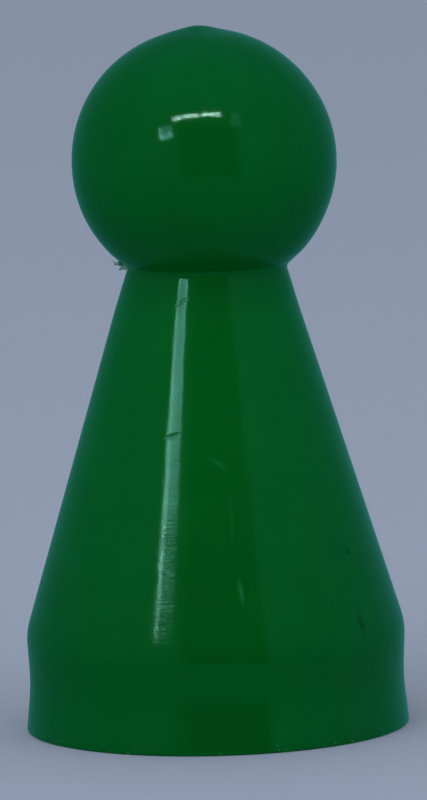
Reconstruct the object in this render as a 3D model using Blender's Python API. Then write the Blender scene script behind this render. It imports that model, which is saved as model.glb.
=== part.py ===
"""Board game pawn: a hollow plastic shell with a ball head, and the plug that closes its foot.

Both pieces are turned about the vertical Z axis. The origin is the centre of the foot, on the table.
"""

import math

import bmesh
import bpy
from mathutils import Matrix, Vector

MM = 0.001

# Outside of the shell
PAWN_HEIGHT = 23.77 * MM  # table to the top of the ball, without the gate mark
HEAD_RADIUS = 4.47 * MM
NECK_RADIUS = 2.69 * MM  # where the cone runs into the ball
NECK_FILLET = 0.12 * MM
FOOT_RADIUS = 6.50 * MM
FOOT_EDGE_FILLET = 0.12 * MM
WAIST_HEIGHT = 1.45 * MM  # the band is drawn in here, between the foot and the cone
WAIST_INSET = 0.155 * MM
WAIST_FILLET = 6.0 * MM
BAND_HEIGHT = 3.37 * MM  # corner between the band and the cone
BAND_INSET = 0.065 * MM
BAND_FILLET = 4.0 * MM

# Marks that the mould leaves on the shell
GATE_RADIUS = 0.90 * MM
GATE_TIP_RADIUS = 0.28 * MM
GATE_HEIGHT = 0.17 * MM
PARTING_ANGLE = math.radians(-48.0)  # meridian on which the two mould halves meet
PARTING_WIDTH = 0.10 * MM
PARTING_RISE = 0.02 * MM

# Hollow of the shell
WALL = 1.20 * MM
RIM_WIDTH = 1.00 * MM  # foot ring that the pawn stands on, out to the foot radius
MOUTH_CHAMFER = 0.20 * MM
SEAT_DEPTH = 1.55 * MM  # table to the ledge that stops the plug
CORE_FILLET = 0.80 * MM
PIN_RADIUS = 1.40 * MM  # thin end of the core, which reaches up into the ball
PIN_TAPER = 0.15 * MM
PIN_REACH = 1.30 * MM  # past the centre of the ball

# Plug
PLUG_CLEARANCE = 0.05 * MM  # round the disc, and below the ledge
PLUG_RECESS = 0.15 * MM  # the disc stays this far above the table
PLUG_CHAMFER = 0.15 * MM
PLUG_RIM = 1.10 * MM  # flat ring round the dish under the disc
DISH_DEPTH = 0.12 * MM
DIMPLE_RADIUS = 1.00 * MM
DIMPLE_DEPTH = 0.20 * MM
SPRUE_RADIUS = 0.38 * MM
SPRUE_HEIGHT = 0.14 * MM
SKIRT_CLEARANCE = 0.12 * MM
SKIRT_WALL = 0.80 * MM
SKIRT_HEIGHT = 1.20 * MM
SKIRT_LEAD_IN = 0.25 * MM
RIB_COUNT = 6
RIB_RADIUS = 0.22 * MM
RIB_CLEARANCE = 0.02 * MM  # on a real pawn the ribs bite into the bore
RIB_SIDES = 12

# Fineness of the turned surfaces
SEGMENTS = 60
FEWEST_ARC_STEPS = 3
CHORD_ERROR = 0.006 * MM
MERGE_DISTANCE = 0.0005 * MM

# Places worked out from the sizes above, as (radius, height)
HEAD_CENTRE = Vector((0, PAWN_HEIGHT - HEAD_RADIUS))
NECK = HEAD_CENTRE + Vector((NECK_RADIUS, -math.sqrt(HEAD_RADIUS**2 - NECK_RADIUS**2)))
GATE_FOOT = HEAD_CENTRE + Vector((GATE_RADIUS, math.sqrt(HEAD_RADIUS**2 - GATE_RADIUS**2)))
SHOULDER = Vector((FOOT_RADIUS - BAND_INSET, BAND_HEIGHT))
WAIST = Vector((FOOT_RADIUS - WAIST_INSET, WAIST_HEIGHT))
SEAT_RADIUS = FOOT_RADIUS - RIM_WIDTH
MOUTH_EDGE = Vector((SEAT_RADIUS + MOUTH_CHAMFER, 0))
CORE_RADIUS = WAIST.x - WALL
DISC_TOP = SEAT_DEPTH - PLUG_CLEARANCE
SKIRT_TOP = DISC_TOP + SKIRT_HEIGHT

# Directions up the outside of the cone, and straight out of it
CONE_UP = (NECK - SHOULDER).normalized()
CONE_OUT = Vector((CONE_UP.y, -CONE_UP.x))


def arc(centre, start, end):
    """Points on the circle about centre, from start to end, with chords that stay near the circle."""
    spoke = start - centre
    turn = -spoke.angle_signed(end - centre)
    step = 2 * math.acos(1 - CHORD_ERROR / spoke.length)
    count = max(FEWEST_ARC_STEPS, math.ceil(abs(turn) / step))
    return [centre + Matrix.Rotation(turn * i / count, 2) @ spoke for i in range(count + 1)]


def rounded(corners):
    """Outline through corners given as (point, fillet radius), with an arc at each filleted one."""
    path = []
    for i, (point, fillet) in enumerate(corners):
        if not fillet:
            path.append(point)
            continue
        back = (corners[i - 1][0] - point).normalized()
        ahead = (corners[i + 1][0] - point).normalized()
        half = back.angle(ahead) / 2
        reach = fillet / math.tan(half)
        centre = point + (back + ahead).normalized() * fillet / math.sin(half)
        path += arc(centre, point + back * reach, point + ahead * reach)
    return path


def neck_fillet():
    """Centre of the small arc that lies between the cone and the ball, and its two ends."""
    start = SHOULDER + CONE_OUT * NECK_FILLET
    from_head = start - HEAD_CENTRE
    along = from_head.dot(CONE_UP)
    left_over = from_head.length_squared - (HEAD_RADIUS + NECK_FILLET) ** 2
    centre = start - CONE_UP * (along + math.sqrt(along**2 - left_over))
    on_cone = centre - CONE_OUT * NECK_FILLET
    on_head = HEAD_CENTRE + (centre - HEAD_CENTRE).normalized() * HEAD_RADIUS
    return centre, on_cone, on_head


def on_inner_cone(radius):
    """Point of this radius on the inside of the cone, which lies one wall in from the outside."""
    start = SHOULDER - CONE_OUT * WALL
    return start + CONE_UP * (radius - start.x) / CONE_UP.x


def shell_outside():
    """Outline from the foot ring up over the band, the cone and the ball to the gate mark."""
    centre, on_cone, on_head = neck_fillet()
    body = rounded(
        [
            (MOUTH_EDGE, 0),
            (Vector((FOOT_RADIUS, 0)), FOOT_EDGE_FILLET),
            (WAIST, WAIST_FILLET),
            (SHOULDER, BAND_FILLET),
            (on_cone, 0),
        ]
    )
    neck = arc(centre, on_cone, on_head)
    ball = arc(HEAD_CENTRE, on_head, GATE_FOOT)
    gate = [Vector((radius, GATE_FOOT.y + GATE_HEIGHT)) for radius in (GATE_TIP_RADIUS, 0)]
    return body + neck[1:] + ball[1:] + gate


def shell_inside():
    """Outline from the top of the hollow, inside the ball, down to the mouth in the foot."""
    dome_radius = PIN_RADIUS - PIN_TAPER
    dome_top = HEAD_CENTRE + Vector((0, PIN_REACH))
    dome_centre = dome_top - Vector((0, dome_radius))
    dome = arc(dome_centre, dome_top, dome_centre + Vector((dome_radius, 0)))
    core = rounded(
        [
            (dome[-1], 0),
            (on_inner_cone(PIN_RADIUS), CORE_FILLET),
            (on_inner_cone(CORE_RADIUS), CORE_FILLET),
            (Vector((CORE_RADIUS, SEAT_DEPTH)), 0),
            (Vector((SEAT_RADIUS, SEAT_DEPTH)), 0),
            (Vector((SEAT_RADIUS, MOUTH_CHAMFER)), 0),
            (MOUTH_EDGE, 0),
        ]
    )
    return dome + core[1:]


def plug_outline():
    """Outline from the sprue mark under the disc, round the disc and its skirt, to the top of the disc."""
    radius = SEAT_RADIUS - PLUG_CLEARANCE
    skirt_radius = CORE_RADIUS - SKIRT_CLEARANCE
    rim_radius = radius - PLUG_CHAMFER - PLUG_RIM
    dish = PLUG_RECESS + DISH_DEPTH
    dimple = dish + DIMPLE_DEPTH
    points = [
        (0, dimple - SPRUE_HEIGHT),
        (SPRUE_RADIUS, dimple - SPRUE_HEIGHT),
        (SPRUE_RADIUS, dimple),
        (DIMPLE_RADIUS - DIMPLE_DEPTH, dimple),
        (DIMPLE_RADIUS, dish),
        (rim_radius - DISH_DEPTH, dish),
        (rim_radius, PLUG_RECESS),
        (radius - PLUG_CHAMFER, PLUG_RECESS),
        (radius, PLUG_RECESS + PLUG_CHAMFER),
        (radius, DISC_TOP),
        (skirt_radius, DISC_TOP),
        (skirt_radius, SKIRT_TOP - SKIRT_LEAD_IN),
        (skirt_radius - SKIRT_LEAD_IN, SKIRT_TOP),
        (skirt_radius - SKIRT_WALL, SKIRT_TOP),
        (skirt_radius - SKIRT_WALL, DISC_TOP),
        (0, DISC_TOP),
    ]
    return [Vector(point) for point in points]


def turn(bm, outline):
    """Add to bm the surface made by turning an outline once round the axis."""
    verts = [bm.verts.new((point.x, 0, point.y)) for point in outline]
    edges = [bm.edges.new(pair) for pair in zip(verts, verts[1:])]
    bmesh.ops.rotate(bm, verts=verts, matrix=Matrix.Rotation(PARTING_ANGLE, 3, "Z"))
    bmesh.ops.spin(
        bm, geom=verts + edges, axis=(0, 0, 1), angle=2 * math.pi, steps=SEGMENTS, use_merge=True
    )


def close(bm):
    """Join the turned surfaces at their shared edges and poles, with every face looking out."""
    bmesh.ops.remove_doubles(bm, verts=bm.verts, dist=MERGE_DISTANCE)
    bmesh.ops.recalc_face_normals(bm, faces=bm.faces)


def raise_parting_line(bm):
    """Lift a fine ridge from the outside, between foot and gate, where the two mould halves met."""
    across = Vector((-math.sin(PARTING_ANGLE), math.cos(PARTING_ANGLE), 0))
    low = FOOT_EDGE_FILLET + MERGE_DISTANCE
    high = GATE_FOOT.y - MERGE_DISTANCE
    for side in (-1, 1):
        faces = [face for face in bm.faces if low < face.calc_center_median().z < high]
        edges = {edge for face in faces for edge in face.edges}
        verts = {vert for face in faces for vert in face.verts}
        bmesh.ops.bisect_plane(
            bm,
            geom=[*faces, *edges, *verts],
            plane_co=across * side * PARTING_WIDTH / 2,
            plane_no=across,
        )
    bm.normal_update()
    for vert in bm.verts:
        if abs(vert.co.dot(across)) < MERGE_DISTANCE and low < vert.co.z < high:
            vert.co += vert.normal * PARTING_RISE


def plastic(name, colour, roughness):
    """Glossy plastic, with its colour given as linear red, green and blue."""
    material = bpy.data.materials.new(name)
    material.use_nodes = True
    shader = material.node_tree.nodes["Principled BSDF"]
    shader.inputs["Base Color"].default_value = (*colour, 1)
    shader.inputs["Roughness"].default_value = roughness
    shader.inputs["Metallic"].default_value = 0
    return material


def add_object(name, bm, parent):
    """Put a finished bmesh into the scene as one smooth-shaded object."""
    mesh = bpy.data.meshes.new(name)
    bm.to_mesh(mesh)
    bm.free()
    mesh.shade_smooth()
    mesh.set_sharp_from_angle(angle=math.radians(30))
    obj = bpy.data.objects.new(name, mesh)
    obj.parent = parent
    bpy.context.scene.collection.objects.link(obj)
    return obj


def add_shell(parent):
    """Ball head, cone and foot band, moulded in one piece round a core that comes out at the foot."""
    bm = bmesh.new()
    turn(bm, shell_outside())
    close(bm)
    raise_parting_line(bm)
    turn(bm, shell_inside())
    close(bm)
    shell = add_object("pawn_shell", bm, parent)
    shell.data.materials.append(plastic("glossy_green_plastic", (0.0012, 0.080, 0.013), 0.2))


def add_ribs(parent):
    """Upright half-round ribs for the plug's skirt, as a helper that is joined to the plug."""
    bm = bmesh.new()
    bottom = DISC_TOP - PLUG_CHAMFER
    top = SKIRT_TOP - SKIRT_LEAD_IN
    centre = Vector((CORE_RADIUS - RIB_CLEARANCE - RIB_RADIUS, 0, (bottom + top) / 2))
    for i in range(RIB_COUNT):
        around = Matrix.Rotation(PARTING_ANGLE + 2 * math.pi * i / RIB_COUNT, 4, "Z")
        bmesh.ops.create_cone(
            bm,
            cap_ends=True,
            segments=RIB_SIDES,
            radius1=RIB_RADIUS,
            radius2=RIB_RADIUS,
            depth=top - bottom,
            matrix=around @ Matrix.Translation(centre),
        )
    ribs = add_object("plug_ribs", bm, parent)
    ribs.hide_render = True
    ribs.display_type = "WIRE"
    return ribs


def add_plug(parent):
    """Disc with a ribbed skirt, pressed up into the mouth of the shell."""
    bm = bmesh.new()
    turn(bm, plug_outline())
    close(bm)
    plug = add_object("base_plug", bm, parent)
    plug.data.materials.append(plastic("satin_green_plastic", (0.0012, 0.066, 0.011), 0.35))
    join = plug.modifiers.new("crush_ribs", "BOOLEAN")
    join.operation = "UNION"
    join.solver = "EXACT"
    join.object = add_ribs(parent)


def main():
    for obj in list(bpy.data.objects):
        bpy.data.objects.remove(obj)
    pawn = bpy.data.objects.new("pawn", None)
    bpy.context.scene.collection.objects.link(pawn)
    add_shell(pawn)
    add_plug(pawn)


main()
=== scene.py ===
"""Board game pawn: a glossy green moulded shell and the plug pressed into its foot, on a plain photo stage.

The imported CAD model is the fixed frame. Both pieces are modelled anew at its size and stand for its nodes.
"""

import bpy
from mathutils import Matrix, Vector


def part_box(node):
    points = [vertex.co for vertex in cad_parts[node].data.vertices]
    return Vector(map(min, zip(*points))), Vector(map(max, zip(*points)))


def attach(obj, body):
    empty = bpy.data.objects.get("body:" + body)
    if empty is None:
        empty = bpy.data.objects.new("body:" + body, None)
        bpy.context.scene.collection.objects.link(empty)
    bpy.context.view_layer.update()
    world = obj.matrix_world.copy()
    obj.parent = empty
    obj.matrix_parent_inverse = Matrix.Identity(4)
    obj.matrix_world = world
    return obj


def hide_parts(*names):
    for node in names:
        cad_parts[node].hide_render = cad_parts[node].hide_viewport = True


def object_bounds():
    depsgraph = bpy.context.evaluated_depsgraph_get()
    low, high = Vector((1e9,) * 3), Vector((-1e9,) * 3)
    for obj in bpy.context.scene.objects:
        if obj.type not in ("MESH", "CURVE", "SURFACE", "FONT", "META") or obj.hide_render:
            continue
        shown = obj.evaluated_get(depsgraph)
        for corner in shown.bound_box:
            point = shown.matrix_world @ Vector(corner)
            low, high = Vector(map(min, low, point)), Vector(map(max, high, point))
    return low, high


bl_info = {
    "name": "Board Game Pawn",
    "version": (1, 0, 0),
    "blender": (4, 5, 0),
    "location": "View3D > Sidebar > Pawn",
    "description": "Models a ball-headed plastic pawn, the plug in its foot, the finishes and a photo stage",
    "category": "Add Mesh",
}

import math

import bmesh
import bpy
from mathutils import Matrix, Quaternion, Vector

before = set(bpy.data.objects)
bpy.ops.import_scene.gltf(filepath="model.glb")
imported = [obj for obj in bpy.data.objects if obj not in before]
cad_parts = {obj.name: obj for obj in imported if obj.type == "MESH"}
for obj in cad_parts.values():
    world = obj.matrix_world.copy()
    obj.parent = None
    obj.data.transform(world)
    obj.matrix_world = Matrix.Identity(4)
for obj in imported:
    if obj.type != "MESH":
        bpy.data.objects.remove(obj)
CAD_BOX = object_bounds()
_, SHELL_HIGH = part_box("pawn_shell")
PLUG_LOW, PLUG_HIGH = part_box("base_plug")

MM = 0.001

# Fineness of the meshes: columns round the axis, points on the ball, and the longest steps along the outline
TOUCH = 0.001 * MM  # places nearer than this count as one
MERGE = 0.0002 * MM  # vertices nearer than this are merged
SHELL_COLUMNS = 256
BALL_POINTS = 256
OUTSIDE_STEP = 0.22 * MM
CREASE_STEP = 0.05 * MM
INSIDE_STEP = 0.70 * MM
PLUG_COLUMNS = 120
SMOOTH_ANGLE = math.radians(35)  # sharper edges stay sharp

# How faces and edges are told apart and rounded
LEAST_OUTWARDS = 0.05  # share of a normal that points away from the axis, on the outside
DOWNWARDS = -0.99  # height of a normal that looks straight down
BLUNT = 5  # radius that blunts an edge, over the size of that edge
NEARLY = 0.97  # stops just short of a full round, or of the crown


def linear(hex_colour):
    """Linear red, green and blue of an sRGB colour that is written as six hex digits."""
    shares = [int(hex_colour[i : i + 2], 16) / 255 for i in (0, 2, 4)]
    return [s / 12.92 if s <= 0.04045 else ((s + 0.055) / 1.055) ** 2.4 for s in shares]


def length(label, note, default):
    """A length that the sidebar shows with its unit."""
    return bpy.props.FloatProperty(
        name=label, description=note, default=default, unit="LENGTH", subtype="DISTANCE", precision=5
    )


def angle(label, note, degrees):
    """An angle that the sidebar shows in degrees."""
    return bpy.props.FloatProperty(
        name=label, description=note, default=math.radians(degrees), unit="ROTATION", subtype="ANGLE"
    )


def share(label, note, default):
    """A plain number from 0 to 1."""
    return bpy.props.FloatProperty(
        name=label, description=note, default=default, min=0, max=1, subtype="FACTOR"
    )


def colour(label, note, hex_colour):
    """A colour, written as sRGB and kept as linear light."""
    return bpy.props.FloatVectorProperty(
        name=label, description=note, default=linear(hex_colour), min=0, max=1, subtype="COLOR"
    )


def light_level(label, note, default):
    """A brightness, where 1 shows a white sheet as white."""
    return bpy.props.FloatProperty(name=label, description=note, default=default, min=0)


class PawnShellSizes(bpy.types.PropertyGroup):
    """Sizes of the moulded shell."""

    height: length("Height", "Table to the tip of the gate mark", SHELL_HIGH.z)
    head_radius: length("Head radius", "Radius of the ball", 4.48 * MM)
    head_shift: length("Head shift", "How far the ball sits to the right of the foot", 0.04 * MM)
    head_sag: length("Head sag", "How far the ball's lower half sits to the right of the rest", 0.035 * MM)
    askew: length("Ball askew", "Rise of the ball's left side, and drop of its right", 0.02 * MM)
    gate_radius: length("Gate radius", "Reach of the trimmed gate mark on the crown", 0.78 * MM)
    gate_tip: length("Gate tip", "Radius of the blunt tip of the gate mark", 0.20 * MM)
    gate_rise: length("Gate rise", "Height of the gate mark over the ball", 0.084 * MM)
    gate_smear: length("Gate smear", "How far the cut has smeared the gate mark's left side up", 0.03 * MM)
    neck_radius: length("Neck radius", "Where the cone runs into the ball", 2.69 * MM)
    neck_fillet: length("Neck fillet", "Round in the crease under the ball", 0.22 * MM)
    shoulder_height: length("Shoulder height", "Table to the corner of band and cone", 3.37 * MM)
    shoulder_inset: length("Shoulder inset", "Foot radius less the shoulder's", 0.065 * MM)
    shoulder_fillet: length("Shoulder fillet", "Round on the shoulder", 2.0 * MM)
    waist_height: length("Waist height", "Table to where the band is drawn in", 1.60 * MM)
    waist_inset: length("Waist inset", "Foot radius less the waist's", 0.155 * MM)
    waist_fillet: length("Waist fillet", "Round in the waist of the band", 6.0 * MM)
    foot_radius: length("Foot radius", "Widest radius, at the lip of the foot", 6.51 * MM)
    lip_height: length("Lip height", "Height of the lip round the foot", 0.15 * MM)
    lip_step: length("Lip step", "How far the lip stands out of the band", 0.008 * MM)
    lip_fillet: length("Lip fillet", "Round under the lip", 0.07 * MM)
    parting_angle: angle("Parting angle", "Meridian on which the mould halves meet", -48)
    parting_width: length("Parting width", "Width of the ridge that the mould halves leave", 0.09 * MM)
    parting_rise: length("Parting rise", "Height of that ridge", 0.003 * MM)
    wall: length("Wall", "Thickness of the cone's wall", 1.20 * MM)
    rim_width: length("Rim width", "Width of the foot ring that the pawn stands on", 1.00 * MM)
    mouth_chamfer: length("Mouth chamfer", "Bevel inside the foot ring", 0.20 * MM)
    seat_depth: length("Seat depth", "Table to the ledge that stops the plug", 1.55 * MM)
    core_fillet: length("Core fillet", "Round in the corners of the hollow", 0.80 * MM)
    pin_radius: length("Pin radius", "Foot of the hollow's thin upper end", 1.40 * MM)
    pin_tip: length("Pin tip radius", "Top of the hollow's thin upper end", 1.25 * MM)
    pin_reach: length("Pin reach", "Top of the hollow over the centre of the ball", 1.30 * MM)


class PawnPlugSizes(bpy.types.PropertyGroup):
    """Sizes of the plug in the foot."""

    radius: length("Radius", "Radius of the disc", PLUG_HIGH.x)
    recess: length("Recess", "Table to the underside of the disc", PLUG_LOW.z)
    chamfer: length("Chamfer", "Bevel round the underside", 0.15 * MM)
    top: length("Top", "Table to the top of the skirt", PLUG_HIGH.z)
    skirt_height: length("Skirt height", "Height of the skirt over the disc", 1.20 * MM)
    skirt_inset: length("Skirt inset", "Disc radius less the skirt's", 0.425 * MM)
    skirt_wall: length("Skirt wall", "Thickness of the skirt", 0.80 * MM)
    lead_in: length("Lead-in", "Bevel on the skirt's outer top edge", 0.25 * MM)
    rib_height: length("Rib height", "How far the crush ribs stand out of the skirt", 0.10 * MM)
    rib_count: bpy.props.IntProperty(
        name="Ribs", description="Crush ribs round the skirt", default=6, min=3, max=12
    )
    rim: length("Rim", "Flat ring round the dish underneath", 1.10 * MM)
    dish_depth: length("Dish depth", "Depth of the dish underneath", 0.12 * MM)
    dimple_radius: length("Dimple radius", "Radius of the gate dimple in the dish", 1.00 * MM)
    dimple_depth: length("Dimple depth", "Depth of the gate dimple", 0.20 * MM)
    sprue_radius: length("Sprue radius", "Radius of the broken sprue in the dimple", 0.38 * MM)
    sprue_height: length("Sprue height", "Height of the broken sprue", 0.14 * MM)


class PawnFinish(bpy.types.PropertyGroup):
    """Colours and gloss of the plastic."""

    shell_colour: colour("Shell", "Pigment of the shell", "005517")
    # Deeper tone of the clouded pigment, which is also the painted shade in the ball and towards the foot
    shell_deep_and_painted_shade: colour("Shell shade", "Where the pigment looks deeper", "004A12")
    worn_colour: colour("Worn", "Scratched plastic", "30A06E")
    film_colour: colour("Film", "Chafed plastic, and plastic squeezed out to a film", "86AD9A")
    # Dirt in the nick and the scrape; under the crease of the neck this colour is painted shade
    dirt_and_painted_shade_colour: colour("Soiled", "Dirt in the nick, the scrape and the crease", "02300F")
    plug_colour: colour("Plug", "Pigment of the plug", "004E1D")
    shell_gloss: share("Shell roughness", "Microscopic roughness of the polished shell", 0.055)
    plug_gloss: share("Plug roughness", "Microscopic roughness of the matt plug", 0.38)


class PawnStage(bpy.types.PropertyGroup):
    """Floor, light and camera."""

    floor_colour: colour("Floor", "Pale paper that the pawn stands on", "9CA8C0")
    floor_size: length("Floor size", "Side of the paper", 4.0)
    room_colour: colour("Room", "Tint that gloss mirrors from the camera's side of the room", "44FFC3")
    side_colour: colour("Sides", "Tint that gloss mirrors from the sides of the room", "58F4E6")
    far_colour: colour("Far side", "Tint that gloss mirrors from behind the pawn", "74F2FA")
    wall_light: light_level("Wall light", "Brightness of the soft light from all round, low down", 1.05)
    ceiling_light: light_level("Ceiling light", "Brightness of the soft light straight overhead", 0.48)
    camera_distance: length("Camera distance", "Along the floor from the pawn's axis", 245 * MM)
    camera_height: length("Camera height", "Over the floor", 41.174 * MM)
    camera_lens: length("Lens", "Focal length", 327.5 * MM)
    camera_roll: angle("Camera roll", "Turn of the picture, counter-clockwise", 1.563)
    aim_side: length("Aim to the side", "Middle of the picture, right of the axis", 0.136 * MM)
    aim_height: length("Aim height", "Middle of the picture, over the floor", 11.13 * MM)


def select(kind, test):
    """Select the vertices, edges or faces of the mesh in edit mode that pass a test, and nothing else."""
    bpy.ops.mesh.select_mode(type=kind)
    bpy.ops.mesh.select_all(action="DESELECT")
    mesh = bpy.context.object.data
    bm = bmesh.from_edit_mesh(mesh)
    chosen = [item for item in {"VERT": bm.verts, "EDGE": bm.edges, "FACE": bm.faces}[kind] if test(item)]
    if not chosen:
        raise RuntimeError(f"{bpy.context.object.name}: no {kind.lower()} to work on")
    for item in chosen:
        item.select_set(True)
    bm.select_flush_mode()
    bmesh.update_edit_mesh(mesh)


def draw_through(places):
    """Extrude the outline's one selected end through these places, in order."""
    bm = bmesh.from_edit_mesh(bpy.context.object.data)
    end = next(vert for vert in bm.verts if vert.select).co.copy()
    for place in places:
        bpy.ops.mesh.extrude_vertices_move(TRANSFORM_OT_translate={"value": place - end})
        end = place


def draw_out(move):
    """Extrude the selected faces by this move."""
    bpy.ops.mesh.extrude_region_move(TRANSFORM_OT_translate={"value": move})


def round_corner(place, radius, segments):
    """Turn the outline's corner at this place into an arc."""
    select("VERT", lambda vert: (vert.co - place).length < TOUCH)
    bm = bmesh.from_edit_mesh(bpy.context.object.data)
    corner = next(vert for vert in bm.verts if vert.select)
    one, other = (edge.other_vert(corner).co - corner.co for edge in corner.link_edges)
    reach = radius / math.tan(one.angle(other) / 2)
    bpy.ops.mesh.bevel(offset_type="OFFSET", offset=reach, segments=segments, affect="VERTICES")


def even_out(longest, place=None, reach=None):
    """Cut each outline edge that is too long into equal parts, or only those within reach of a place."""

    def cuts(edge):
        middle = (edge.verts[0].co + edge.verts[1].co) / 2
        if place and (middle - place).length > reach:
            return 0
        return math.ceil(edge.calc_length() / longest) - 1

    bm = bmesh.from_edit_mesh(bpy.context.object.data)
    for count in sorted({cuts(edge) for edge in bm.edges} - {0}, reverse=True):
        select("EDGE", lambda edge: cuts(edge) == count)
        bpy.ops.mesh.subdivide(number_cuts=count)


def close_mesh():
    """Merge the seams and poles of the mesh in edit mode, and turn every face outwards."""
    bpy.ops.mesh.select_all(action="SELECT")
    bpy.ops.mesh.remove_doubles(threshold=MERGE)
    bpy.ops.mesh.normals_make_consistent(inside=False)


def faces_outwards(item):
    """Whether a face or vertex of the shell looks away from the axis, as the hollow's walls don't."""
    place = item.co if isinstance(item, bmesh.types.BMVert) else item.calc_center_median()
    return item.normal.dot(place.to_2d().to_3d()) > LEAST_OUTWARDS * place.to_2d().length


class ShellOutline:
    """Places on the shell's outline, in the upright plane where the two mould halves meet."""

    def __init__(self, size):
        self.size = size
        self.outwards = Vector((math.cos(size.parting_angle), math.sin(size.parting_angle), 0))
        self.across = Vector((-self.outwards.y, self.outwards.x, 0))
        self.head_height = size.height - size.gate_rise - size.head_radius
        neck_drop = math.sqrt(size.head_radius**2 - size.neck_radius**2)
        self.neck_height = self.head_height - neck_drop
        self.shoulder_radius = size.foot_radius - size.shoulder_inset
        cone_height = self.neck_height - size.shoulder_height
        self.cone_slope = (size.neck_radius - self.shoulder_radius) / cone_height

    def at(self, radius, height):
        return self.outwards * radius + Vector((0, 0, height))

    def radius(self, height):
        """Outer radius of the ball or the cone at this height."""
        if height > self.neck_height:
            return math.sqrt(max(self.size.head_radius**2 - (height - self.head_height) ** 2, 0))
        return self.shoulder_radius + self.cone_slope * (height - self.size.shoulder_height)

    def on_cone(self, degrees, height, slant):
        """Place on the cone at these degrees from +X, a line at a slant up from level, and the way out."""
        turn, rise = math.radians(degrees), math.radians(slant)
        level = Vector((math.cos(turn), math.sin(turn), 0))
        along = Vector((-level.y, level.x, 0))
        upwards = (level * self.cone_slope + Vector((0, 0, 1))).normalized()
        line = along * math.cos(rise) + upwards * math.sin(rise)
        return level * self.radius(height) + Vector((0, 0, height)), line, along.cross(upwards)

    def in_cone(self, radius):
        """Place of this radius on the inside of the cone's wall."""
        level_wall = self.size.wall * math.hypot(1, self.cone_slope)
        height = self.size.shoulder_height + (radius + level_wall - self.shoulder_radius) / self.cone_slope
        return self.at(radius, height)


def draw_shell_outline(outline):
    """Start from the ball's circle, keep its arc from gate to neck, and draw the rest of the section on."""
    size = outline.size
    bpy.ops.mesh.primitive_circle_add(
        vertices=BALL_POINTS,
        radius=size.head_radius,
        location=(0, 0, outline.head_height),
        rotation=(math.pi / 2, 0, size.parting_angle),
    )
    bpy.ops.object.transform_apply(location=True, rotation=True, scale=True)
    bpy.ops.object.mode_set(mode="EDIT")
    crease_reach = 2 * size.neck_fillet
    lowest = outline.neck_height + crease_reach
    select("VERT", lambda vert: vert.co.dot(outline.outwards) < size.gate_radius or vert.co.z < lowest)
    bpy.ops.mesh.delete(type="VERT")

    # Gate mark
    heights = [vert.co.z for vert in bmesh.from_edit_mesh(bpy.context.object.data).verts]
    top, bottom = max(heights), min(heights)
    select("VERT", lambda vert: vert.co.z > top - TOUCH)
    tip_drop = 0.1 * size.gate_rise
    tip = outline.at(size.gate_tip, size.height - tip_drop)
    draw_through([tip, outline.at(0, size.height)])

    # Outside, from the neck down to the foot ring
    select("VERT", lambda vert: vert.co.z < bottom + TOUCH)
    neck = outline.at(size.neck_radius, outline.neck_height)
    shoulder = outline.at(outline.shoulder_radius, size.shoulder_height)
    waist = outline.at(size.foot_radius - size.waist_inset, size.waist_height)
    lip_slope = 3 * size.lip_step
    lip_top = outline.at(size.foot_radius - size.lip_step, size.lip_height + lip_slope)
    lip = outline.at(size.foot_radius, size.lip_height)
    foot = outline.at(size.foot_radius, 0)
    seat_radius = size.foot_radius - size.rim_width
    mouth = outline.at(seat_radius + size.mouth_chamfer, 0)
    draw_through([neck, shoulder, waist, lip_top, lip, foot, mouth])
    rounds = (  # each corner's place, radius and segments
        (tip, BLUNT * size.gate_tip, 6),
        (neck, size.neck_fillet, 12),
        (shoulder, size.shoulder_fillet, 12),
        (waist, size.waist_fillet, 8),
        (lip_top, BLUNT * size.lip_fillet, 3),
        (lip, BLUNT * size.lip_fillet, 3),
        (foot, size.lip_fillet, 5),
    )
    for corner in rounds:
        round_corner(*corner)
    even_out(OUTSIDE_STEP)
    even_out(CREASE_STEP, neck, crease_reach)

    # Inside, from the mouth up to the top of the hollow
    select("VERT", lambda vert: (vert.co - mouth).length < TOUCH)
    core_radius = waist.dot(outline.outwards) - size.wall
    core_foot = outline.in_cone(core_radius)
    pin_foot = outline.in_cone(size.pin_radius)
    hollow_top = outline.head_height + size.pin_reach
    pin_corner = outline.at(size.pin_tip, hollow_top)
    draw_through(
        [
            outline.at(seat_radius, size.mouth_chamfer),
            outline.at(seat_radius, size.seat_depth),
            outline.at(core_radius, size.seat_depth),
            core_foot,
            pin_foot,
            pin_corner,
            outline.at(0, hollow_top),
        ]
    )
    rounds = (
        (core_foot, size.core_fillet, 4),
        (pin_foot, size.core_fillet, 4),
        (pin_corner, NEARLY * size.pin_tip, 10),
    )
    for corner in rounds:
        round_corner(*corner)
    even_out(INSIDE_STEP)


def drag(test, move, reach):
    """Move the vertices that pass a test, and draw those within reach along, less the farther they are."""
    select("VERT", test)
    bpy.ops.transform.translate(
        value=move,
        use_proportional_edit=True,
        proportional_edit_falloff="SMOOTH",
        proportional_size=reach,
    )


# Parts of the ball that are set askew, as shares of its radius, and of the gate mark, as a share of its own
BALL_FLANK = 0.85  # from the axis out to where a side begins
SAG_BAND = (0.02, 0.12)  # over the crease, bottom and top
SAG_REACH = 0.4
GATE_FLANK = 0.7  # from the axis out to the side that the cut has smeared


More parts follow.
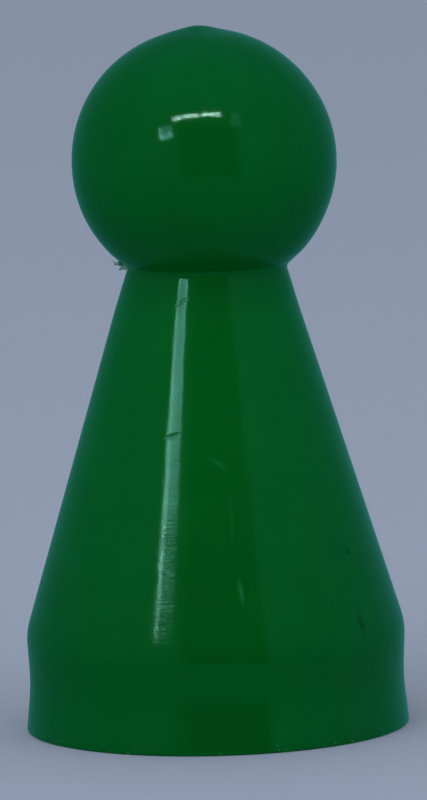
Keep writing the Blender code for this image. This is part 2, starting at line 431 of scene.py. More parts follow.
def set_head_askew(outline):
    """Shift the ball to the right, its lower half most, tilt it, and smear the gate mark's left side up."""
    size = outline.size
    reach = BALL_FLANK * size.head_radius
    drag(lambda vert: vert.co.z > outline.head_height, (size.head_shift, 0, 0), reach)
    drag(lambda vert: vert.co.x < -reach and vert.co.z > outline.neck_height, (0, 0, size.askew), reach)
    drag(lambda vert: vert.co.x > reach and vert.co.z > outline.neck_height, (0, 0, -size.askew), reach)
    lowest, highest = (outline.neck_height + part * size.head_radius for part in SAG_BAND)
    drag(lambda vert: lowest < vert.co.z < highest, (size.head_sag, 0, 0), SAG_REACH * size.head_radius)
    flank = Vector((-GATE_FLANK * size.gate_radius, 0, size.height - size.gate_rise))
    smear = (0, 0, size.gate_smear)
    drag(lambda vert: (vert.co - flank).length < 2 * size.gate_rise, smear, size.gate_radius)


def raise_parting_line(outline):
    """Cut a narrow strip down the outside where the mould halves met, and lift its middle into a ridge."""
    size = outline.size
    strip = 3 * size.parting_width
    for side in (-1, 1):
        select(
            "FACE",
            lambda face: faces_outwards(face) and abs(face.calc_center_median().dot(outline.across)) < strip,
        )
        bpy.ops.mesh.bisect(
            plane_co=outline.across * side * size.parting_width / 2,
            plane_no=outline.across,
            threshold=MERGE,
        )
    select(
        "VERT",
        lambda vert: faces_outwards(vert)
        and abs(vert.co.dot(outline.across)) < TOUCH
        and size.lip_height < vert.co.z < outline.head_height + NEARLY * size.head_radius,
    )
    bpy.ops.transform.shrink_fatten(value=size.parting_rise)


# Each flake of flash: degrees from +X, height over the crease, and the moves to the left and up, all in
# millimetres, that it is drawn out by
FLAKES = (
    (181, 0.06, ((0.17, 0.02), (0.15, 0.06), (0.06, 0.10))),
    (177, 0.02, ((0.12, -0.03), (0.11, -0.07))),
    (185, 0.14, ((0.10, 0.04), (0.09, -0.02), (0.07, -0.05))),
    (173, 0.10, ((0.11, 0.05), (0.10, 0.00))),
)
FLAKE_ROOT = 0.09 * MM  # reach of the faces that a flake grows out of
FLAKE_TAPER = (0.7, 0.8, 0.5)  # how each move narrows it along X, Y and Z
FLASH_REACH = 0.45 * MM  # from the crease to the farthest bit of flash
FLASH_ROOT_DEPTH = 0.02 * MM  # how far its root may lie under the surface


def pull_flash(outline):
    """Draw ragged flakes of flash out of the crease under the ball, on the left."""
    for degrees, rise, moves in FLAKES:
        turn = math.radians(degrees)
        height = outline.neck_height + rise * MM
        radius = outline.radius(height)
        root = Vector((radius * math.cos(turn), radius * math.sin(turn), height))
        bm = bmesh.from_edit_mesh(bpy.context.object.data)
        centres = [face.calc_center_median() for face in bm.faces if faces_outwards(face)]
        centre = min(centres, key=lambda place: (place - root).length)
        select(
            "FACE",
            lambda face: faces_outwards(face) and (face.calc_center_median() - centre).length < FLAKE_ROOT,
        )
        for left, up in moves:
            move = Vector((-left, 0, up)) * MM
            draw_out(move)
            centre = centre + move
            bpy.ops.transform.resize(value=FLAKE_TAPER, center_override=centre)


def on_flash(outline, face):
    """Whether a face of the shell stands clear of ball and cone, to the left of the neck."""
    place = face.calc_center_median()
    clear = place.to_2d().length - outline.radius(place.z)
    off = Vector((place.y, place.z - outline.neck_height))
    return place.x < 0 and off.length < FLASH_REACH and clear > -FLASH_ROOT_DEPTH


# Each groove cut into the cone: degrees from +X, height, length, width and depth in millimetres, and its
# slant in degrees up from level
GROOVES = (
    (-36.1, 6.30, 0.32, 0.26, 0.03, 90),
    (-38.8, 3.95, 1.00, 0.26, 0.03, 96),
)
GROOVE_WALLS = 6  # a groove's width over that of one side wall


def cut_grooves(outline):
    """Press a nick and a scrape into the right of the cone."""
    for degrees, height, long, wide, depth, slant in GROOVES:
        place, line, _ = outline.on_cone(degrees, height * MM, slant)

        def in_groove(face):
            off = face.calc_center_median() - place
            lengthwise = off.dot(line)
            sideways = (off - line * lengthwise).length
            return (2 * lengthwise / long) ** 2 + (2 * sideways / wide) ** 2 < MM**2

        select("FACE", in_groove)
        bpy.ops.mesh.inset(thickness=wide * MM / GROOVE_WALLS, depth=-depth * MM, use_even_offset=True)


def mould_shell_mesh(outline):
    """Model the shell in edit mode and leave it as the active object."""
    draw_shell_outline(outline)
    bpy.ops.mesh.select_all(action="SELECT")
    bpy.ops.mesh.spin(steps=SHELL_COLUMNS, angle=2 * math.pi, center=(0, 0, 0), axis=(0, 0, 1))
    close_mesh()
    raise_parting_line(outline)
    set_head_askew(outline)
    cut_grooves(outline)
    pull_flash(outline)
    close_mesh()
    bpy.ops.object.mode_set(mode="OBJECT")


SPRUE_TAPER = 0.85  # the broken sprue's end over its root
SKIRT_FIT = 5  # lead-in over how far a face of the skirt may lie off its radius


def bottom_middle(face):
    """Whether a face lies on the axis and looks straight down."""
    return face.normal.z < DOWNWARDS and face.calc_center_median().to_2d().length < TOUCH


def step_in(test, inset, rise):
    """Inset the faces that pass a test, then move them up or down."""
    select("FACE", test)
    bpy.ops.mesh.inset(thickness=inset, use_even_offset=True)
    if rise:
        bpy.ops.transform.translate(value=(0, 0, rise))


def mould_plug_mesh(size):
    """Model the plug in edit mode, from a filled circle at the disc's edge, and leave it active."""
    edge_height = size.recess + size.chamfer
    disc_top = size.top - size.skirt_height
    skirt_radius = size.radius - size.skirt_inset
    bpy.ops.mesh.primitive_circle_add(
        vertices=PLUG_COLUMNS, radius=size.radius, fill_type="NGON", location=(0, 0, edge_height)
    )
    bpy.ops.object.transform_apply(location=True, rotation=True, scale=True)
    bpy.ops.object.mode_set(mode="EDIT")

    # Disc and skirt, upwards
    bpy.ops.mesh.select_all(action="SELECT")
    draw_out((0, 0, disc_top - edge_height))
    bpy.ops.mesh.inset(thickness=size.skirt_inset, use_even_offset=True)
    straight = size.skirt_height - size.lead_in
    draw_out((0, 0, straight))
    draw_out((0, 0, size.lead_in))
    narrower = (skirt_radius - size.lead_in) / skirt_radius
    bpy.ops.transform.resize(value=(narrower, narrower, 1), center_override=(0, 0, size.top))
    bpy.ops.mesh.inset(thickness=size.skirt_wall - size.lead_in, use_even_offset=True)
    draw_out((0, 0, -size.skirt_height))
    close_mesh()

    # Dish, gate dimple and broken sprue, underneath
    levels = (
        (size.chamfer, -size.chamfer),
        (size.rim, 0),
        (size.dish_depth, size.dish_depth),
        (size.radius - size.chamfer - size.rim - size.dish_depth - size.dimple_radius, 0),
        (size.dimple_depth, size.dimple_depth),
        (size.dimple_radius - size.dimple_depth - size.sprue_radius, 0),
    )
    for inset, rise in levels:
        step_in(bottom_middle, inset, rise)
    draw_out((0, 0, -size.sprue_height))
    bpy.ops.transform.resize(value=(SPRUE_TAPER, SPRUE_TAPER, 1), center_override=(0, 0, size.recess))

    # Crush ribs on the skirt
    between = 2 * math.pi / size.rib_count
    half_column = math.pi / PLUG_COLUMNS

    def on_rib(face):
        place = face.calc_center_median()
        turn = math.atan2(place.y, place.x) - half_column
        off = abs(turn - between * round(turn / between))
        on_skirt = abs(place.to_2d().length - skirt_radius) < size.lead_in / SKIRT_FIT
        return on_skirt and disc_top < place.z < size.top and off < half_column

    select("FACE", on_rib)
    bpy.ops.mesh.extrude_region_shrink_fatten(TRANSFORM_OT_shrink_fatten={"value": size.rib_height})
    close_mesh()
    bpy.ops.object.mode_set(mode="OBJECT")


def add_node(tree, kind, inputs=None, **options):
    """Add a shader node with its options, and set or link each input, given by its label or its number.

    A node that is given for an input is linked by its first output.
    """
    node = tree.nodes.new("ShaderNode" + kind)
    for option, value in options.items():
        setattr(node, option, value)
    for key, value in (inputs or {}).items():
        if isinstance(value, bpy.types.Node):
            value = value.outputs[0]
        if isinstance(value, bpy.types.NodeSocket):
            tree.links.new(value, node.inputs[key])
        else:
            node.inputs[key].default_value = value
    return node


def empty_tree(owner):
    """Give a material, a lamp or the world an empty node tree."""
    owner.use_nodes = True
    owner.node_tree.nodes.clear()
    return owner.node_tree


def new_material(name):
    """An empty node material, its tree, and the Object coordinates that its patterns follow."""
    material = bpy.data.materials.new(name)
    tree = empty_tree(material)
    return material, tree, add_node(tree, "TexCoord").outputs["Object"]


# Each mark on the cone: what it does, degrees from +X, height, length and width in millimetres, its slant in
# degrees up from level, and its strength. Worn marks are pale scratches, and scored ones bend a highlight
MARKS = (
    ("worn", -87.2, 9.55, 1.05, 0.28, -34, 0.10),
    ("worn", -82.9, 7.75, 1.80, 0.20, 88, 0.05),
    ("worn", -81.4, 5.40, 1.15, 0.22, 95, 0.20),
    ("scored", -107.6, 10.45, 0.75, 0.20, 18, 0.45),
    ("scored", -106.6, 14.80, 0.55, 0.16, 35, 0.50),
)
DIRT_SPREAD = 1.5  # width of the dirt in a groove over the groove's own
DIRT_STRENGTH = 0.8
GROOVE_DIRT = tuple(
    ("soiled", degrees, height, long, DIRT_SPREAD * wide, slant, DIRT_STRENGTH)
    for degrees, height, long, wide, _, slant in GROOVES
)
MARK_DEPTH = 0.3  # millimetres into the plastic and out of it, together
# Frayed distance from a mark's middle at which it has faded out, and at which it is whole
MARK_EDGE = {"From Min": 1.5, "From Max": 0.5}


def mark_mask(tree, coords, ragged, outline, mark):
    """Mask that has the mark's strength in its middle and fades out over a ragged edge."""
    _, degrees, height, long, wide, slant, strength = mark
    place, line, outwards = outline.on_cone(degrees, height * MM, slant)
    turned = Matrix((line, outwards.cross(line), outwards)).transposed().to_euler()
    half_size = Vector((long, wide, MARK_DEPTH)) * MM / 2
    fitted = {"Vector": coords, "Location": place, "Rotation": turned, "Scale": half_size}
    oval = add_node(tree, "Mapping", fitted, vector_type="TEXTURE")
    reach = add_node(tree, "VectorMath", {0: oval}, operation="LENGTH")
    frayed = add_node(tree, "Math", {0: reach.outputs["Value"], 1: ragged}, operation="ADD")
    return add_node(tree, "MapRange", {"Value": frayed, **MARK_EDGE, "To Max": strength})


def mark_masks(tree, coords, ragged, outline):
    """Masks of all the marks on the cone, listed by what the marks do."""
    masks = {}
    for mark in MARKS + GROOVE_DIRT:
        masks.setdefault(mark[0], []).append(mark_mask(tree, coords, ragged, outline, mark))
    return masks


def strongest(tree, masks):
    """The highest of some masks at each place."""
    highest = masks[0]
    for mask in masks[1:]:
        highest = add_node(tree, "Math", {0: highest, 1: mask}, operation="MAXIMUM")
    return highest


def lay_colours(tree, ground, layers):
    """Lay colours over a ground colour, each through its mask, and return the colour that shows."""
    shown = (*ground, 1)
    for mask, tint in layers:
        shown = add_node(tree, "Mix", {0: mask, 6: shown, 7: (*tint, 1)}, data_type="RGBA").outputs[2]
    return shown


# Sizes of the patterns in the plastic. Real polish lines, ripple and grain are finer, and are drawn as
# coarse as they need to be to show
PIGMENT_CLOUD = 2.5 * MM
RAGGED_GRAIN = 0.12 * MM
SMUDGE = 1.5 * MM
SINK_MARK = 2.0 * MM
POLISH_LINE = (0.35 * MM, 0.35 * MM, 0.09 * MM)
RIPPLE = 0.055 * MM
FILM_PATCH = 0.10 * MM
PLUG_CLOUD = 1.8 * MM
PLUG_GRAIN = 0.08 * MM

# Depths of the patterns that the gloss shows
FINE_RELIEF = 0.0010 * MM
COARSE_RELIEF = 0.010 * MM
PLUG_RELIEF = 0.004 * MM

# Where each change on the shell begins, where it is full, and its strength there. Those of the foot go by
# the height over the table, the others by the height over the crease
BELOW_CREASE = {"From Min": 0.05 * MM, "From Max": -0.05 * MM}
# Painted shade: darkens the cone's top under the crease of the neck
CREASE_PAINTED_SHADE = {"From Min": -1.5 * MM, "From Max": 0, "To Max": 0.34}
# Painted shade: the pigment is painted darker in the ball, and from 10 mm down to the foot
BALL_PAINTED_SHADE = {"From Min": 0, "From Max": 2.5 * MM, "To Max": 0.33}
FOOT_PAINTED_SHADE = {"From Min": 10 * MM, "From Max": 3 * MM, "To Max": 0.60}
CHAFED_FOOT = {"From Min": 0.40 * MM, "From Max": 0.10 * MM, "To Max": 0.42}
# Painted light: how much paler the pigment is painted on the cone, where the painted shade doesn't reach
CONE_PAINTED_LIGHT = 0.1  # how much paler the pigment looks where the wall is thin

# The same for the rubbed parting line, by the distance from its middle over half its width
RUBBED_FROM, RUBBED_TO, RUBBED_STRENGTH = 1.3, 0.3, 0.025

# Bands of a noise pattern that a change takes up
SPECKS = {"From Min": 0.66, "From Max": 0.75}
SMUDGES = {"From Min": 0.35, "From Max": 0.70}
HAZE = {"From Min": 0.42, "From Max": 0.66}
FILM = {"From Min": 0.40, "From Max": 0.62}

# Roughness and index of refraction
PLASTIC_IOR = 1.50
SMUDGED = 1.5  # roughness in a smudge over that of the clean gloss
BALL_AND_CONE_HAZE = {"To Min": 0.03, "To Max": 0.045}
FILM_ROUGHNESS = 0.4


def shell_roughness(tree, coords, ragged, on_cone, finish):
    """Roughness of the shell: smudged gloss under a fine haze, thicker on the cone than on the ball."""
    smudges = add_node(tree, "TexNoise", {"Vector": coords, "Scale": 1 / SMUDGE, "Detail": 4})
    from_clean = {"To Min": finish.shell_gloss, "To Max": SMUDGED * finish.shell_gloss}
    gloss = add_node(tree, "MapRange", {"Value": smudges, **SMUDGES, **from_clean})
    haziest = add_node(tree, "MapRange", {"Value": on_cone, **BALL_AND_CONE_HAZE})
    haze = add_node(tree, "MapRange", {"Value": ragged, **HAZE, "To Max": haziest})
    return add_node(tree, "Math", {0: gloss, 1: haze}, operation="ADD")


def shell_relief(tree, coords, scored):
    """Normals of the shell: polish lines, ripple, sink marks, and scored lines, which are pressed in."""
    drawn_out = {"Vector": coords, "Scale": tuple(1 / size for size in POLISH_LINE)}
    polish_places = add_node(tree, "Mapping", drawn_out)
    polish = add_node(tree, "TexNoise", {"Vector": polish_places, "Scale": 1, "Detail": 2})
    ripple = add_node(tree, "TexNoise", {"Vector": coords, "Scale": 1 / RIPPLE, "Detail": 1})
    sink = add_node(tree, "TexNoise", {"Vector": coords, "Scale": 1 / SINK_MARK, "Detail": 2})
    reliefs = (
        (polish, FINE_RELIEF, False),
        (ripple, FINE_RELIEF, False),
        (sink, COARSE_RELIEF, False),
        (strongest(tree, scored), COARSE_RELIEF, True),
    )
    under = {}
    for pattern, depth, pressed_in in reliefs:
        bump = add_node(tree, "Bump", {"Height": pattern, "Distance": depth, **under}, invert=pressed_in)
        under = {"Normal": bump}
    return bump


def polished_polystyrene(finish, outline):
    """Polystyrene moulded in a polished steel mould.

    It gives a deep, faintly clouded pigment under a clear gloss. Painted shade darkens it in the ball and
    towards the foot, and painted light makes it paler on the cone. The mould's polish lines run round the
    pawn, and with a fine ripple they fray the edges of each highlight. The wall has sunk unevenly, which
    bends long highlights. Handling has left a faint haze, scored lines, pale scratches, dirt in the nick and
    the scrape, and pale specks along the foot. Painted shade darkens the cone's top under the crease of
    the neck.
    """
    material, tree, coords = new_material("polished_polystyrene")
    height = add_node(tree, "SeparateXYZ", {0: coords}).outputs["Z"]
    off_neck = add_node(tree, "Math", {0: height, 1: outline.neck_height}, operation="SUBTRACT")
    on_cone = add_node(tree, "MapRange", {"Value": off_neck, **BELOW_CREASE})
    pigment = add_node(tree, "TexNoise", {"Vector": coords, "Scale": 1 / PIGMENT_CLOUD, "Detail": 3})
    ragged = add_node(tree, "TexNoise", {"Vector": coords, "Scale": 1 / RAGGED_GRAIN, "Detail": 3})
    masks = mark_masks(tree, coords, ragged, outline)

    # Rubbed parting line
    across = add_node(tree, "VectorMath", {0: coords, 1: outline.across}, operation="DOT_PRODUCT")
    aside = add_node(tree, "Math", {0: across.outputs["Value"]}, operation="ABSOLUTE")
    half_ridge = outline.size.parting_width / 2
    edge = {"From Min": RUBBED_FROM * half_ridge, "From Max": RUBBED_TO * half_ridge}
    ridge = add_node(tree, "MapRange", {"Value": aside, **edge, "To Max": RUBBED_STRENGTH})
    rubbed = add_node(tree, "Math", {0: ridge, 1: pigment}, operation="MULTIPLY")

    # Specks along the foot
    specks = add_node(tree, "MapRange", {"Value": ragged, **SPECKS})
    foot_edge = add_node(tree, "MapRange", {"Value": height, **CHAFED_FOOT})
    chafed = add_node(tree, "Math", {0: foot_edge, 1: specks}, operation="MULTIPLY")

    # Painted shade on the cone's top under the crease, thinning out down the cone
    crease = add_node(tree, "MapRange", {"Value": off_neck, **CREASE_PAINTED_SHADE})
    crease_painted_shade = add_node(tree, "Math", {0: crease, 1: on_cone}, operation="MULTIPLY")

    # Painted light and shade: the pigment is painted paler on the cone, and darker in the ball and towards
    # the foot
    foot_painted_shade = add_node(tree, "MapRange", {"Value": height, **FOOT_PAINTED_SHADE})
    ball_painted_shade = add_node(tree, "MapRange", {"Value": off_neck, **BALL_PAINTED_SHADE})
    depth = strongest(tree, [foot_painted_shade, ball_painted_shade])
    painted_light_and_shade = add_node(tree, "Math", {0: CONE_PAINTED_LIGHT, 1: depth}, operation="SUBTRACT")
    clouds_and_painted_light = add_node(tree, "Math", {0: pigment, 1: painted_light_and_shade}, operation="ADD")

    layers = (
        (clouds_and_painted_light, finish.shell_colour),
        (strongest(tree, [*masks["worn"], rubbed]), finish.worn_colour),
        (chafed, finish.film_colour),
        (strongest(tree, [*masks["soiled"], crease_painted_shade]), finish.dirt_and_painted_shade_colour),
    )
    shader = add_node(
        tree,
        "BsdfPrincipled",
        {
            "Base Color": lay_colours(tree, finish.shell_deep_and_painted_shade, layers),
            "Roughness": shell_roughness(tree, coords, ragged, on_cone, finish),
            "IOR": PLASTIC_IOR,
            "Normal": shell_relief(tree, coords, masks["scored"]),
        },
    )
    add_node(tree, "OutputMaterial", {"Surface": shader})
    return material


def thin_polystyrene(finish):
    """Polystyrene squeezed out to a film between the mould halves: its pigment looks pale and uneven."""
    material, tree, coords = new_material("thin_polystyrene")
    film = add_node(tree, "TexNoise", {"Vector": coords, "Scale": 1 / FILM_PATCH, "Detail": 2})
    thickness = add_node(tree, "MapRange", {"Value": film, **FILM})
    tint = lay_colours(tree, finish.film_colour, ((thickness, finish.worn_colour),))
    look = {"Base Color": tint, "Roughness": FILM_ROUGHNESS, "IOR": PLASTIC_IOR}
    shader = add_node(tree, "BsdfPrincipled", look)
    add_node(tree, "OutputMaterial", {"Surface": shader})
    return material


def matt_polystyrene(finish):
    """Polystyrene moulded against plain, unpolished steel: the same pigment, clouded, with a dull grain."""
    material, tree, coords = new_material("matt_polystyrene")
    clouds = add_node(tree, "TexNoise", {"Vector": coords, "Scale": 1 / PLUG_CLOUD, "Detail": 4})
    grain = add_node(tree, "TexNoise", {"Vector": coords, "Scale": 1 / PLUG_GRAIN, "Detail": 2})
    bump = add_node(tree, "Bump", {"Height": grain, "Distance": PLUG_RELIEF})
    look = {
        "Base Color": lay_colours(tree, finish.shell_deep_and_painted_shade, ((clouds, finish.plug_colour),)),
        "Roughness": finish.plug_gloss,
        "IOR": PLASTIC_IOR,
        "Normal": bump,
    }
    shader = add_node(tree, "BsdfPrincipled", look)
    add_node(tree, "OutputMaterial", {"Surface": shader})
    return material


def finish_piece(name, materials):
    """Name and smooth the active object, give it its finishes, and let it stand for its CAD node."""
    piece = bpy.context.object
    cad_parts[name].name = name + "_cad"
    piece.name = piece.data.name = name
    bpy.ops.object.shade_smooth_by_angle(angle=SMOOTH_ANGLE)
    for material in materials:
        piece.data.materials.append(material)
    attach(piece, "root")
    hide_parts(name)


def give_flash_its_finish(outline):
    """Put the flakes of flash on the shell's second material."""
    bpy.ops.object.mode_set(mode="EDIT")
    select("FACE", lambda face: on_flash(outline, face))
    bpy.context.object.active_material_index = 1
    bpy.ops.object.material_slot_assign()
    bpy.ops.object.mode_set(mode="OBJECT")


class PAWN_OT_mould_shell(bpy.types.Operator):
    """Model the pawn's hollow shell: ball head, cone and foot band in one moulding"""

    bl_idname = "pawn.mould_shell"
    bl_label = "Mould Shell"

    def execute(self, context):
        bpy.ops.object.select_all(action="DESELECT")
        finish = context.scene.pawn_finish
        outline = ShellOutline(context.scene.pawn_shell_sizes)
        mould_shell_mesh(outline)
        materials = (polished_polystyrene(finish, outline), thin_polystyrene(finish))
        finish_piece("pawn_shell", materials)
        give_flash_its_finish(outline)
        return {"FINISHED"}


class PAWN_OT_press_plug(bpy.types.Operator):
    """Model the plug that closes the shell's foot"""

    bl_idname = "pawn.press_plug"
    bl_label = "Press In Plug"

    def execute(self, context):
        bpy.ops.object.select_all(action="DESELECT")
        mould_plug_mesh(context.scene.pawn_plug_sizes)
        finish_piece("base_plug", (matt_polystyrene(context.scene.pawn_finish),))
        return {"FINISHED"}


PAPER_FIBRE = 0.6 * MM
FIBRE_SHADES = {"To Min": 0.95, "To Max": 1.05}
PAPER_GLOSS = {"Roughness": 0.9, "Specular IOR Level": 0.1}


def floor_paper(stage):
    """Smooth uncoated paper: pale and matt, with a faint uneven fibre."""
    material, tree, coords = new_material("uncoated_paper")
    fibre = add_node(tree, "TexNoise", {"Vector": coords, "Scale": 1 / PAPER_FIBRE, "Detail": 4})
    shade = add_node(tree, "MapRange", {"Value": fibre, **FIBRE_SHADES})
    shaded = {0: 1.0, 6: (*stage.floor_colour, 1), 7: shade}
    paper = add_node(tree, "Mix", shaded, data_type="RGBA", blend_type="MULTIPLY")
    shader = add_node(tree, "BsdfPrincipled", {"Base Color": paper.outputs[2], **PAPER_GLOSS})
    add_node(tree, "OutputMaterial", {"Surface": shader})
    return material


# Each panel lamp: its name, whether gloss mirrors it, its place as degrees right of the camera's side,
# degrees up and metres off, its width and height in degrees, its turn in degrees, its radiance and its tint
PANELS = (
    ("lower_pane", True, (-34.1, 26.0, 0.5), (9.8, 4.6), 9, 3.7, "9EFFFA"),
    ("upper_pane", True, (-36.2, 31.2, 0.5), (9.0, 5.4), 14, 1.6, "9EFFFA"),
    ("window_edge", True, (-41.3, 27.1, 0.5), (1.4, 9.8), 22, 6.0, "A4FFEC"),
    ("window_corner", True, (-38.3, 23.3, 0.5), (1.6, 1.0), 12, 21.0, "ACFFE8"),
    ("left_tube", True, (-19.1, 43.5, 0.5), (20.9, 2.0), 13.3, 19.0, "C8FFEC"),
    ("right_tube", True, (8.7, 45.8, 0.5), (15.3, 2.3), -1.9, 19.0, "C8FFEC"),
    ("tube_end", True, (21.5, 42.9, 0.5), (3.8, 0.9), -68, 1.2, "A0FFE8"),
    ("side_glow", True, (34, 38.5, 0.5), (9, 12), -10, 0.38, "92FFFA"),
    ("soft_box", False, (-28, 42, 0.45), (38, 32), 0, 1.07, "FFFFFF"),
    ("left_fill", False, (-48, 20, 0.3), (50, 24), 0, 1.6, "FFFFFF"),
    ("right_fill", False, (45, 20, 0.3), (50, 24), 0, 1.5, "FFFFFF"),
)

# Patches of the mirrored panels: their size along X, Y and Z, and the brightness that a noise gives them
PATCH_SIZE = (22 * MM, 22 * MM, 4.5 * MM)
PATCHES = {"From Min": 0.40, "From Max": 0.60, "To Min": 0.1, "To Max": 1.9}


def direction(azimuth, elevation):
    """Unit vector at these degrees, right of the camera's side of the pawn and up from the floor."""
    turn, rise = math.radians(azimuth), math.radians(elevation)
    return Vector((math.sin(turn) * math.cos(rise), -math.cos(turn) * math.cos(rise), math.sin(rise)))


def make_uneven(lamp):
    """Vary the brightness over a lamp, as branches outside a window or dust on a tube do."""
    tree = empty_tree(lamp)
    over_panel = add_node(tree, "NewGeometry").outputs["Position"]
    scaled = {"Vector": over_panel, "Scale": tuple(1 / size for size in PATCH_SIZE)}
    flattened = add_node(tree, "Mapping", scaled)
    cover = add_node(tree, "TexNoise", {"Vector": flattened, "Scale": 1, "Detail": 1})
    brightness = add_node(tree, "MapRange", {"Value": cover, **PATCHES})
    glow = add_node(tree, "Emission", {"Strength": brightness})
    add_node(tree, "OutputLight", {"Surface": glow})


def add_panel_light(name, mirrored, place, size, turn, radiance, tint):
    """A flat panel lamp, aimed at the pawn, whose place is (azimuth, elevation, distance).

    A mirrored panel is uneven and shows only as a highlight. The others only light matt surfaces, evenly.
    """
    azimuth, elevation, distance = place
    target = Vector((0, 0, CAD_BOX[1].z / 2))
    outwards = direction(azimuth, elevation)
    bpy.ops.object.light_add(type="AREA", location=target + outwards * distance)
    lamp = bpy.context.object
    lamp.name = name
    lamp.rotation_mode = "QUATERNION"
    facing = (-outwards).to_track_quat("-Z", "Y")
    lamp.rotation_quaternion = facing @ Quaternion((0, 0, 1), math.radians(turn))
    width, height = (2 * distance * math.tan(math.radians(spread / 2)) for spread in size)
    lamp.data.shape = "RECTANGLE"
    lamp.data.size, lamp.data.size_y = width, height
    lamp.data.energy = radiance * math.pi * width * height
    lamp.data.color = linear(tint)
    lamp.visible_camera = False
    lamp.visible_glossy = mirrored
    lamp.visible_diffuse = not mirrored
    if mirrored:
        make_uneven(lamp.data)


# Ends of the room's dark side: where it is dark, where it is lit, and how brightly. They go by a direction's
# angle, to the left and to the right, and by its height, over the camera and at the floor
DARK_SIDES = (
    (math.radians(-15), math.radians(-28), 1.0),
    (math.radians(28.5), math.radians(34), 1.2),
)
DARK_HEIGHTS = ((0.50, 0.85, 1.4), (-0.05, -0.25, 1.0))
DARKEST = 0.08

# How the room's strength and tint change from the camera's side to the far side, and its strength downwards
ROOM_STRENGTH = {"From Min": -0.7, "From Max": 0.6, "To Min": 0.24, "To Max": 0.20}
FLOOR_STRENGTH = {"From Min": -0.1, "From Max": -0.5, "To Min": 1.0, "To Max": 0.75}
ROOM_TINTS = {"From Min": -0.6, "From Max": 0.95}
SIDE_TINT_PLACE = 0.77


def set_world(stage):
    """Even light for matt surfaces, a pale backdrop, and for gloss a dim room, darkest behind the camera."""
    world = bpy.data.worlds.new("photo_room")
    bpy.context.scene.world = world
    tree = empty_tree(world)
    view = add_node(tree, "TexCoord").outputs["Generated"]
    sight = add_node(tree, "SeparateXYZ", {0: view}).outputs
    forwards = add_node(tree, "Math", {0: sight["Y"], 1: -1.0}, operation="MULTIPLY")
    azimuth = add_node(tree, "Math", {0: sight["X"], 1: forwards}, operation="ARCTAN2")

    # The room's strength
    levels = [DARKEST]
    for value, ends in ((azimuth, DARK_SIDES), (sight["Z"], DARK_HEIGHTS)):
        for dark, lit, level in ends:
            edge = {"Value": value, "From Min": dark, "From Max": lit, "To Max": level}
            levels.append(add_node(tree, "MapRange", edge))
    dimness = add_node(tree, "MapRange", {"Value": sight["Y"], **ROOM_STRENGTH})
    walls = add_node(tree, "Math", {0: dimness, 1: strongest(tree, levels)}, operation="MULTIPLY")
    under = add_node(tree, "MapRange", {"Value": sight["Z"], **FLOOR_STRENGTH})
    strength = add_node(tree, "Math", {0: walls, 1: under}, operation="MULTIPLY")

    # The room's tint
    behind = add_node(tree, "MapRange", {"Value": sight["Y"], **ROOM_TINTS})
    tints = add_node(tree, "ValToRGB", {0: behind})
    tints.color_ramp.elements.new(SIDE_TINT_PLACE)
    along = (stage.room_colour, stage.side_colour, stage.far_colour)
    for stop, tint in zip(tints.color_ramp.elements, along):
        stop.color = (*tint, 1)
    room = add_node(tree, "Background", {"Color": tints, "Strength": strength})

    # Soft light and backdrop
    soft = {"Value": sight["Z"], "To Min": stage.wall_light, "To Max": stage.ceiling_light}
    softness = add_node(tree, "MapRange", soft)
    even = add_node(tree, "Background", {"Color": (1, 1, 1, 1), "Strength": softness})
    backdrop = add_node(tree, "Background", {"Color": (*stage.floor_colour, 1), "Strength": 1.0})
    rays = add_node(tree, "LightPath").outputs
    unseen = add_node(tree, "MixShader", {0: rays["Is Glossy Ray"], 1: even, 2: room})
    straight = strongest(tree, [rays["Is Camera Ray"], rays["Is Transmission Ray"]])
    seen = add_node(tree, "MixShader", {0: straight, 1: unseen, 2: backdrop})
    add_node(tree, "OutputWorld", {"Surface": seen})


def set_camera(stage):
    """A long lens at the photograph's angle."""
    place = Vector((0, -stage.camera_distance, stage.camera_height))
    aim = Vector((stage.aim_side, 0, stage.aim_height))
    bpy.ops.object.camera_add(location=place)
    camera = bpy.context.object
    camera.name = "photo_camera"
    camera.rotation_mode = "QUATERNION"
    roll = Quaternion((0, 0, 1), -stage.camera_roll)
    camera.rotation_quaternion = (aim - place).to_track_quat("-Z", "Y") @ roll
    camera.data.lens = stage.camera_lens / MM
    camera.data.clip_start = 10 * MM
    bpy.context.scene.camera = camera


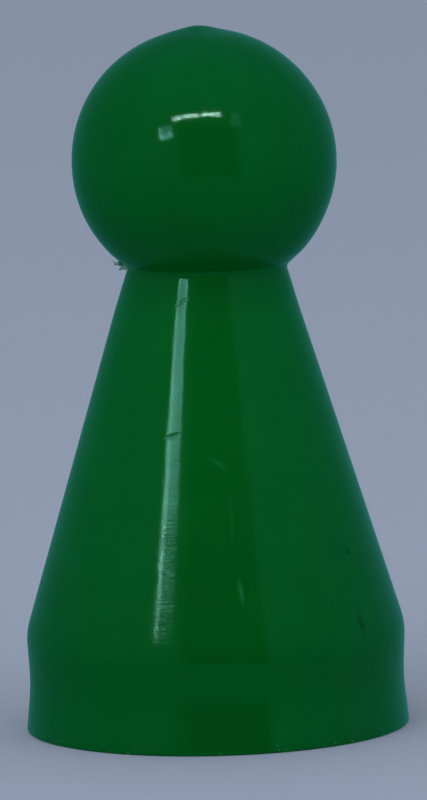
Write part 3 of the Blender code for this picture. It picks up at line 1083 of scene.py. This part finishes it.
class PAWN_OT_set_stage(bpy.types.Operator):
    """Set the floor, the light and the camera"""

    bl_idname = "pawn.set_stage"
    bl_label = "Set Stage"

    def execute(self, context):
        stage = context.scene.pawn_stage
        bpy.ops.object.select_all(action="DESELECT")
        bpy.ops.mesh.primitive_plane_add(size=stage.floor_size)
        floor = context.object
        floor.name = "paper_floor"
        floor.data.materials.append(floor_paper(stage))
        floor.visible_glossy = False
        set_world(stage)
        for panel in PANELS:
            add_panel_light(*panel)
        set_camera(stage)
        context.scene.view_settings.view_transform = "Standard"
        return {"FINISHED"}


class PAWN_PT_maker(bpy.types.Panel):
    """Sizes, finishes and stage of the pawn"""

    bl_label = "Board Game Pawn"
    bl_space_type = "VIEW_3D"
    bl_region_type = "UI"
    bl_category = "Pawn"

    def draw(self, context):
        scene = context.scene
        parts = (
            (scene.pawn_shell_sizes, PAWN_OT_mould_shell),
            (scene.pawn_plug_sizes, PAWN_OT_press_plug),
            (scene.pawn_finish, None),
            (scene.pawn_stage, PAWN_OT_set_stage),
        )
        for settings, operator in parts:
            box = self.layout.box()
            for name in settings.__annotations__:
                box.prop(settings, name)
            if operator:
                box.operator(operator.bl_idname)


CLASSES = (
    PawnShellSizes,
    PawnPlugSizes,
    PawnFinish,
    PawnStage,
    PAWN_OT_mould_shell,
    PAWN_OT_press_plug,
    PAWN_OT_set_stage,
    PAWN_PT_maker,
)
SETTINGS = {
    "pawn_shell_sizes": PawnShellSizes,
    "pawn_plug_sizes": PawnPlugSizes,
    "pawn_finish": PawnFinish,
    "pawn_stage": PawnStage,
}


def register():
    for cls in CLASSES:
        bpy.utils.register_class(cls)
    for name, group in SETTINGS.items():
        setattr(bpy.types.Scene, name, bpy.props.PointerProperty(type=group))


def unregister():
    for name in SETTINGS:
        delattr(bpy.types.Scene, name)
    for cls in reversed(CLASSES):
        bpy.utils.unregister_class(cls)


def main():
    register()
    bpy.ops.pawn.mould_shell()
    bpy.ops.pawn.press_plug()
    bpy.ops.pawn.set_stage()


if __name__ == "__main__":
    main()
